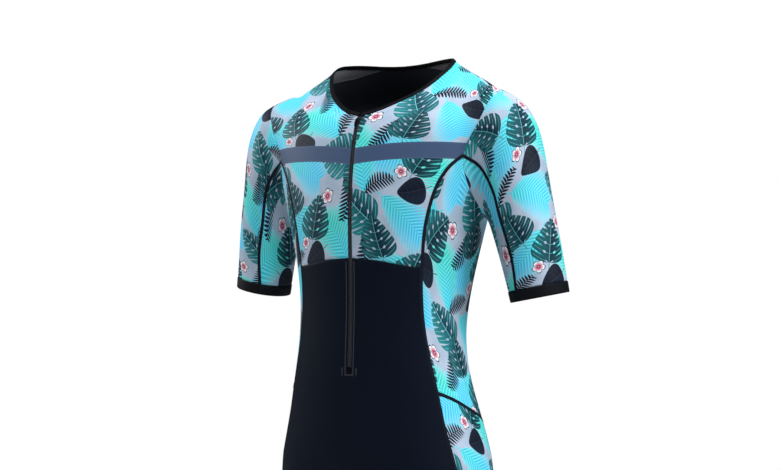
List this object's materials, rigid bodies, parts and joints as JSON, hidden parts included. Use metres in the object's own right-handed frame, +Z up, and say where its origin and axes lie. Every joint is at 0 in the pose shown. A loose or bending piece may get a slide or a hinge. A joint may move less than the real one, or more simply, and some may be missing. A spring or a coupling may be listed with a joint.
{
  "type": "triathlon suit",
  "caption": "Short-sleeved triathlon suit of stretch knit, filled out as worn: hollow, open at neck, cuffs and leg hems, with a front zip whose pull tab swings.",
  "frame": {"origin": "inside the neck, in the middle, level with the tops of the shoulders where they meet the neck", "axes": "+Z up along the body, -Y out of the front, +X to the wearer's left"},
  "size_m": [0.6156, 0.2498, 1.0455],
  "materials": {
    "print_knit": "smooth stretch knit, printed with leaves and fronds in teal, turquoise, navy and grey",
    "black_knit": "smooth blue-black stretch knit with a soft sheen",
    "black_elastic": "matt black ribbed elastic",
    "zip_nylon": "black woven tape and coil",
    "zip_metal": "black lacquered metal"
  },
  "bodies": {
    "suit": {"back": "black_knit", "collar": "black_elastic", "cuff_left": "black_elastic", "cuff_right": "black_elastic", "front_lower": "black_knit", "front_yoke_left": "print_knit", "front_yoke_right": "print_knit", "leg_band_left": "black_elastic", "leg_band_right": "black_elastic", "leg_side_left": "print_knit", "leg_side_right": "print_knit", "side_left": "print_knit", "side_right": "print_knit", "sleeve_left": "print_knit", "sleeve_right": "print_knit", "underarm_left": "print_knit", "underarm_right": "print_knit", "zip_chain": "zip_nylon", "zip_slider": "zip_metal", "zip_stop": "zip_metal", "zip_tape_left": "zip_nylon", "zip_tape_right": "zip_nylon"},
    "zip_pull": {"zip_pull": "zip_metal"}
  },
  "joints": [
    {"name": "zip_pull_swing", "type": "hinge", "parent": "suit", "child": "zip_pull", "pos_m": [0, -0.09504, -0.09596], "axis": [-1, 0, 0], "range_deg": [0, 150]}
  ]
}
